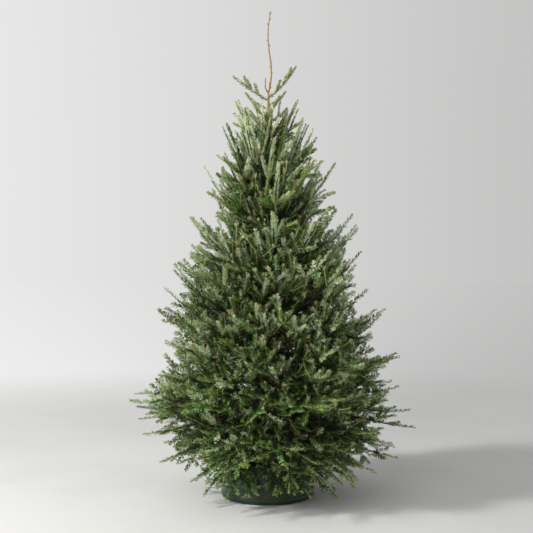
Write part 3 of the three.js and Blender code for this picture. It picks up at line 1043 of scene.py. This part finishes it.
class FIR_OT_trunk(bpy.types.Operator):
    """Turns the trunk along its bent line, with the bark's relief, and the bare leader on top"""

    bl_idname = "fir.trunk"
    bl_label = "Trunk and leader"

    def execute(self, context):
        settings = context.scene.fir_stem
        foot, top = TRUNK[0, 0], TRUNK[-1, 0]
        heights = np.linspace(foot, top, TRUNK_RINGS)
        radii = np.interp(heights, TRUNK[:, 0], TRUNK[:, 3])
        solid = spun([(0, foot), *zip(radii, heights), (0, top)], steps=40)
        for vertex in solid.verts:
            vertex.co = self.with_bark(vertex.co, settings.relief)
        leader_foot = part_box("top_shoot_left")[0].z + LEADER_RISE
        finish = bark_finish("Trunk bark", settings, settings.bark, leader_foot)
        mesh = mesh_of_solid("trunk_bark", solid, sharp=60)
        add_piece("trunk_bark", mesh, [finish], ["trunk"])
        return {"FINISHED"}

    def with_bark(self, point, relief):
        """Moves a turned point out or in by the bark's relief, and along with the stem's bends."""
        x, y, radius = trunk_at(point.z)
        distance = math.hypot(point.x, point.y)
        scale = 1
        if distance > radius * 0.5:  # not the middle of an end
            plates = noise.fractal(point * PLATES, *PLATE_FRACTAL)
            lumps = noise.noise(point * LUMPS)
            depth = PLATE_SHARE * plates + LUMP_SHARE * lumps - SUNK
            scale += min(1.0, radius / FULL_RELIEF_RADIUS) * relief * depth / distance
        return Vector((x + point.x * scale, y + point.y * scale, point.z))


class FIR_OT_top_shoots(bpy.types.Operator):
    """Adds the bare short shoots beside the leader's foot and the buds along the leader"""

    bl_idname = "fir.top_shoots"
    bl_label = "Bare top shoots"

    def execute(self, context):
        stem, crown = context.scene.fir_stem, context.scene.fir_crown
        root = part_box("top_shoot_left")[0].z + BARE_RISE
        x, y, _ = trunk_at(root)
        start = np.array([x, y, root])
        points = [start + BARE_SHOOTS * share for share in ((0, 0, 0), BARE_BEND, (1, 1, 1))]
        normals = np.array([(0.0, 1.0, 0.0)] * len(BARE_SHOOTS))
        radii = np.array([BARE_RADII] * len(normals))
        shapes = tubes(np.stack(points, 1), radii, normals, sides=8)
        bark = bark_finish("Leader bark", stem, stem.bark, root - ALL_SMOOTH)
        add_shapes("bare_top_shoots", shapes, [bark], smooth=True)

        top = TRUNK[-1, 0]
        bud_heights = np.linspace(root + BUDS_ABOVE_FOOT, top - BUDS_BELOW_TIP, LEADER_BUDS)
        bases, ways = [], []
        for i, height in enumerate(bud_heights):
            x, y, radius = trunk_at(height)
            way = np.array([*outward_at(i * GOLDEN_ANGLE).xy, BUD_RISE])
            bases.append(np.array([x, y, height]) + way * radius * BUD_DEPTH)
            ways.append(way)
        tip_x, tip_y, _ = trunk_at(top)
        for spread in END_BUDS:
            bases.append(np.array([tip_x, tip_y, top - END_BUD_DROP]))
            ways.append(np.array([*spread, 1.0]))
        directions = unit(np.array(ways))
        normals = across_from(np.broadcast_to((0.3, 1.0, 0.2), directions.shape), directions)
        shapes = buds(np.array(bases), directions, normals, crown.bud_length * 0.95)
        scales = plain_finish("Leader bud scales", crown.bud_scales, 0.5)
        add_shapes("leader_buds", shapes, [scales])
        return {"FINISHED"}


# ---- stand ----

STAND_STEPS = 144
STRIPE_UP, STRIPE_OUT = 0.0012, 0.0016  # from the top of the band and the foot of the skirt
RIDGE_STEPS = 6  # points of the skirt's outline in one ridge
SHOULDER_CURVE = 0.016  # how far in the shoulder curves
HANDLE_RADIUS, ROD_RADIUS, PAD_RADIUS, NUT_RADIUS = 0.0045, 0.005, 0.010, 0.011
PAD_LENGTH, NUT_LENGTH = 0.006, 0.007
THREAD_PITCH, THREAD_DEPTH = 0.0022, 0.0007
THREAD_STOP, PLAIN_ROD = 0.012, 0.010  # where one ends and the other starts, from the handle
PAD_GAP = 0.0004  # between a screw's pad and the trunk
ROUNDING = 0.001


class StandSizes:
    """The stand's main sizes, worked out from its node and the trunk's foot."""

    def __init__(self):
        low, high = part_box("stand_shell")
        self.band_radius = (high.x - low.x) / 2
        self.height = high.z
        self.foot_radius = self.band_radius - 0.008
        self.band_top = 0.032
        self.skirt_radius = self.band_radius - 0.007
        self.shoulder_radius = self.band_radius - 0.037
        self.shoulder_height = self.height - 0.048
        self.deck_height = self.height - 0.032
        self.collar_radius = self.band_radius - 0.115
        self.bowl_radius = self.collar_radius - 0.014
        self.wall = 0.004
        self.floor = TRUNK[0, 0] - 0.0003


class FIR_OT_stand(bpy.types.Operator):
    """Turns the stand's shell with its band, ridged skirt, deck, collar and bowl, and its stripe"""

    bl_idname = "fir.stand"
    bl_label = "Stand"

    def execute(self, context):
        settings = context.scene.fir_stand
        size = StandSizes()
        solid = spun(self.profile(size, settings), STAND_STEPS)
        soften(solid, offset=0.0012)
        mesh = mesh_of_solid("stand_shell_finished", solid)
        plastic = plastic_finish(settings)
        add_piece("stand_shell_finished", mesh, [plastic], ["stand_shell"])

        stripe = bmesh.new()
        ring = bmesh.ops.create_circle(stripe, segments=8, radius=settings.stripe_radius)
        upright = Matrix.Rotation(math.pi / 2, 4, "X")
        place = (size.skirt_radius + STRIPE_OUT, 0, size.band_top + STRIPE_UP)
        bmesh.ops.transform(stripe, matrix=Matrix.Translation(place) @ upright, verts=ring["verts"])
        bmesh.ops.spin(stripe, geom=stripe.verts[:] + stripe.edges[:], cent=(0, 0, 0), axis=UP,
                       angle=2 * math.pi, steps=STAND_STEPS, use_merge=True)
        bmesh.ops.recalc_face_normals(stripe, faces=stripe.faces)
        mesh = mesh_of_solid("stand_stripe", stripe, sharp=90)
        add_piece("stand_stripe", mesh, [stripe_finish(settings)])
        return {"FINISHED"}

    def profile(self, s, settings):
        """Half the shell's outline as radius and height: under it, up its outside and down in."""
        outside_of_bowl = s.bowl_radius + s.wall
        under = [
            (0, 0), (outside_of_bowl, 0), (outside_of_bowl, s.deck_height - s.wall),
            (s.shoulder_radius - s.wall - 0.01, s.deck_height - s.wall),
            (s.shoulder_radius - s.wall, s.shoulder_height - s.wall),
            (s.skirt_radius - s.wall, s.band_top), (s.foot_radius - s.wall, 0),
        ]
        band = [
            (s.foot_radius, 0), (s.foot_radius + 0.004, 0.003), (s.band_radius - 0.002, 0.007),
            (s.band_radius, 0.013), (s.band_radius - 0.0003, 0.022),
            (s.band_radius - 0.002, s.band_top - 0.003), (s.skirt_radius + 0.002, s.band_top),
        ]
        step = settings.ridge_pitch / RIDGE_STEPS
        heights = np.arange(s.band_top + 0.002, s.shoulder_height, step)
        rise = (heights - heights[0]) / (s.shoulder_height - heights[0])
        wall = s.skirt_radius + (s.shoulder_radius - s.skirt_radius) * rise
        ridges = np.abs(np.sin(np.pi * (heights - heights[0]) / settings.ridge_pitch)) ** 3
        skirt = list(zip(wall + settings.ridge_height * ridges, heights))
        turn = np.linspace(0, math.pi / 2, 7)
        shoulder = list(zip(s.shoulder_radius - SHOULDER_CURVE * (1 - np.cos(turn)),
                            s.shoulder_height + (s.deck_height - s.shoulder_height) * np.sin(turn)))
        inner = [
            (s.collar_radius + 0.006, s.deck_height), (s.collar_radius, s.deck_height + 0.006),
            (s.collar_radius, s.height), (s.bowl_radius, s.height), (s.bowl_radius, s.floor),
            (0, s.floor),
        ]
        return under + band + skirt + shoulder + inner


class FIR_OT_clamp_screws(bpy.types.Operator):
    """Makes the threaded clamp screws with their nuts on the collar, pads and crossbar handles"""

    bl_idname = "fir.clamp_screws"
    bl_label = "Clamp screws"

    def execute(self, context):
        steel = steel_finish(context.scene.fir_stand)
        for node in nodes_of("clamp_screw_"):
            add_piece(node + "_threaded", self.screw(node), [steel], [node])
        return {"FINISHED"}

    def rounded(self, radius, start, end):
        """The outline of a disc or rod whose rims are rounded off."""
        inner = radius - ROUNDING
        return [(inner, start), (radius, start + ROUNDING), (radius, end - ROUNDING), (inner, end)]

    def screw(self, node):
        """One screw: its pad on the trunk, thread, nut on the collar and crossbar."""
        low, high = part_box(node)
        height = (low.z + high.z) / 2
        turn = math.atan2(low.y + high.y, low.x + high.x)
        far = math.hypot(max(low.x, high.x, key=abs), max(low.y, high.y, key=abs))
        end = far - HANDLE_RADIUS
        start = trunk_at(height)[2] + PAD_GAP
        pad_end = start + PAD_LENGTH
        thread = []
        for foot in np.arange(pad_end, end - THREAD_STOP, THREAD_PITCH):
            thread += [(ROD_RADIUS, foot), (ROD_RADIUS - THREAD_DEPTH, foot + THREAD_PITCH / 2)]
        pad = self.rounded(PAD_RADIUS, start, pad_end)
        rest = [(ROD_RADIUS, end - PLAIN_ROD), (ROD_RADIUS, end), (0, end)]
        rod = spun([(0, start), *pad, *thread, *rest], steps=20)
        collar = StandSizes().collar_radius
        nut = spun([(0, collar), (NUT_RADIUS, collar), (NUT_RADIUS, collar + NUT_LENGTH),
                    (0, collar + NUT_LENGTH)], steps=6)
        soften(nut, offset=0.0008)
        half = (high.z - low.z) / 2
        bar = spun([(0, -half), *self.rounded(HANDLE_RADIUS, -half, half), (0, half)], steps=20)
        turning = Matrix.Rotation(turn, 4, "Z")
        lying = turning @ Matrix.Translation((0, 0, height)) @ Matrix.Rotation(math.pi / 2, 4, "Y")
        standing = turning @ Matrix.Translation((end, 0, height))
        joined = bmesh.new()
        for part, place in ((rod, lying), (nut, lying), (bar, standing)):
            bmesh.ops.transform(part, matrix=place, verts=part.verts)
            mesh = bpy.data.meshes.new("part of a screw")
            part.to_mesh(mesh)
            part.free()
            joined.from_mesh(mesh)
            bpy.data.meshes.remove(mesh)
        return mesh_of_solid(node + "_threaded", joined)


# ---- stage ----

KEY_TRAVEL, FILL_TRAVEL = Vector((0.74, 0.36, -0.57)), Vector((0.40, 0.76, -0.52))
FILL_SIZE, FILL_DISTANCE = 4.0, 6.0
LIGHT_TINT = (1.0, 0.985, 0.955)
TREE_MIDDLE = Vector((0, 0, 0.6))
CEILING_RISE = (0.27, 0.6)  # how steep a direction is where the walls turn into the ceiling
FLOOR_FADE = (1.6, 6.0)  # how far from the trunk the floor turns into the walls


class FIR_OT_stage(bpy.types.Operator):
    """Sets up the pale floor, the studio round it, the soft key light and the camera"""

    bl_idname = "fir.stage"
    bl_label = "Stage"

    def execute(self, context):
        settings = context.scene.fir_stage
        self.studio(context.scene, settings)
        self.floor(context.scene, settings)
        self.light(context.scene, "Key light", settings.key_power, settings.key_size,
                   KEY_TRAVEL, settings.key_distance)
        self.light(context.scene, "Fill light", settings.fill_power, FILL_SIZE,
                   FILL_TRAVEL, FILL_DISTANCE)
        self.camera(context.scene, settings)
        context.scene.view_settings.view_transform = "Standard"
        return {"FINISHED"}

    def walls(self, finish, settings, direction):
        """The studio's colour in a direction: from its bright side to its dim side."""
        share = finish.fade(finish.part(direction, "X"), -0.5, 0.5)
        return finish.mix(share, settings.bright_side, settings.dim_side)

    def studio(self, scene, settings):
        scene.world = bpy.data.worlds.new("Studio")
        finish = Finish(scene.world)
        direction = finish.node("ShaderNodeTexCoord", {}, {}, "Generated")
        above = finish.fade(finish.part(direction, "Z"), *CEILING_RISE)
        tint = finish.mix(above, self.walls(finish, settings, direction), settings.ceiling)
        finish.feed(finish.tree.nodes["Background"].inputs["Color"], tint)

    def floor(self, scene, settings):
        """A wide floor that glows like the walls further out, so that no edge shows."""
        solid = bmesh.new()
        bmesh.ops.create_circle(solid, cap_ends=True, segments=96, radius=60)
        mesh = mesh_of_solid("floor", solid)
        piece = bpy.data.objects.new("floor", mesh)
        scene.collection.objects.link(piece)
        finish = new_finish("Pale floor", Specular_IOR_Level=0.15)
        clouds = finish.noise(1.3, detail=5, roughness=0.6)
        specks = finish.noise(60, detail=3)
        cloudy = finish.fade(clouds, 0.4, 0.68) * 0.8
        finish.set(
            Base_Color=finish.mix(cloudy, settings.floor, scaled(settings.floor, 0.93)),
            Roughness=0.62 + 0.1 * specks,
            Normal=finish.bump(specks, 0.001, 0.2),
        )
        place = finish.place()
        distance = finish.node("ShaderNodeVectorMath", {"operation": "LENGTH"}, {0: place}, "Value")
        direction = finish.node("ShaderNodeVectorMath", {"operation": "NORMALIZE"}, {0: place})
        walls = self.walls(finish, settings, direction)
        glow = finish.node("ShaderNodeEmission", {}, {"Color": walls})
        near = Value(finish, finish.tree.nodes["Principled BSDF"].outputs[0])
        blend = finish.node("ShaderNodeMixShader", {},
                            {0: finish.fade(distance, *FLOOR_FADE), 1: near, 2: glow})
        finish.feed(finish.tree.nodes["Material Output"].inputs["Surface"], blend)
        mesh.materials.append(finish.owner)

    def light(self, scene, name, power, size, travel, distance):
        """A square softbox at a distance from the tree, whose light travels one way."""
        light = bpy.data.lights.new(name, "AREA")
        light.energy = power
        light.size = size
        light.color = LIGHT_TINT
        lamp = bpy.data.objects.new(name, light)
        lamp.rotation_euler = travel.to_track_quat("-Z", "Y").to_euler()
        lamp.location = TREE_MIDDLE - travel.normalized() * distance
        lamp.visible_camera = False
        scene.collection.objects.link(lamp)

    def camera(self, scene, settings):
        """A level camera in front of the tree."""
        data = bpy.data.cameras.new("Camera")
        data.lens = settings.lens
        camera = bpy.data.objects.new("Camera", data)
        camera.location = (settings.eye_offset, -settings.eye_distance, settings.eye_height)
        camera.rotation_euler = (math.pi / 2, 0, 0)
        scene.collection.objects.link(camera)
        scene.camera = camera


# ---- the add-on ----

STEPS = (
    FIR_OT_stage,
    FIR_OT_stand,
    FIR_OT_clamp_screws,
    FIR_OT_trunk,
    FIR_OT_top_shoots,
    FIR_OT_boughs,
    FIR_OT_twigs,
    FIR_OT_needles,
)


class FIR_PT_panel(bpy.types.Panel):
    """Lists the steps that make the tree, and their sizes and colours"""

    bl_idname = "FIR_PT_panel"
    bl_label = "Fir"
    bl_space_type = "VIEW_3D"
    bl_region_type = "UI"
    bl_category = "Fir"

    def draw(self, context):
        for step in STEPS:
            self.layout.operator(step.bl_idname)
        for name, group in SETTINGS.items():
            box = self.layout.box()
            for prop in group.__annotations__:
                box.prop(getattr(context.scene, name), prop)


def register():
    for name, group in SETTINGS.items():
        bpy.utils.register_class(group)
        setattr(bpy.types.Scene, name, PointerProperty(type=group))
    for item in (*STEPS, FIR_PT_panel):
        bpy.utils.register_class(item)


def unregister():
    for item in (FIR_PT_panel, *reversed(STEPS)):
        bpy.utils.unregister_class(item)
    for name, group in reversed(SETTINGS.items()):
        delattr(bpy.types.Scene, name)
        bpy.utils.unregister_class(group)


def main():
    register()
    for step in STEPS:
        group, name = step.bl_idname.split(".")
        getattr(getattr(bpy.ops, group), name)()


if __name__ == "__main__":
    main()
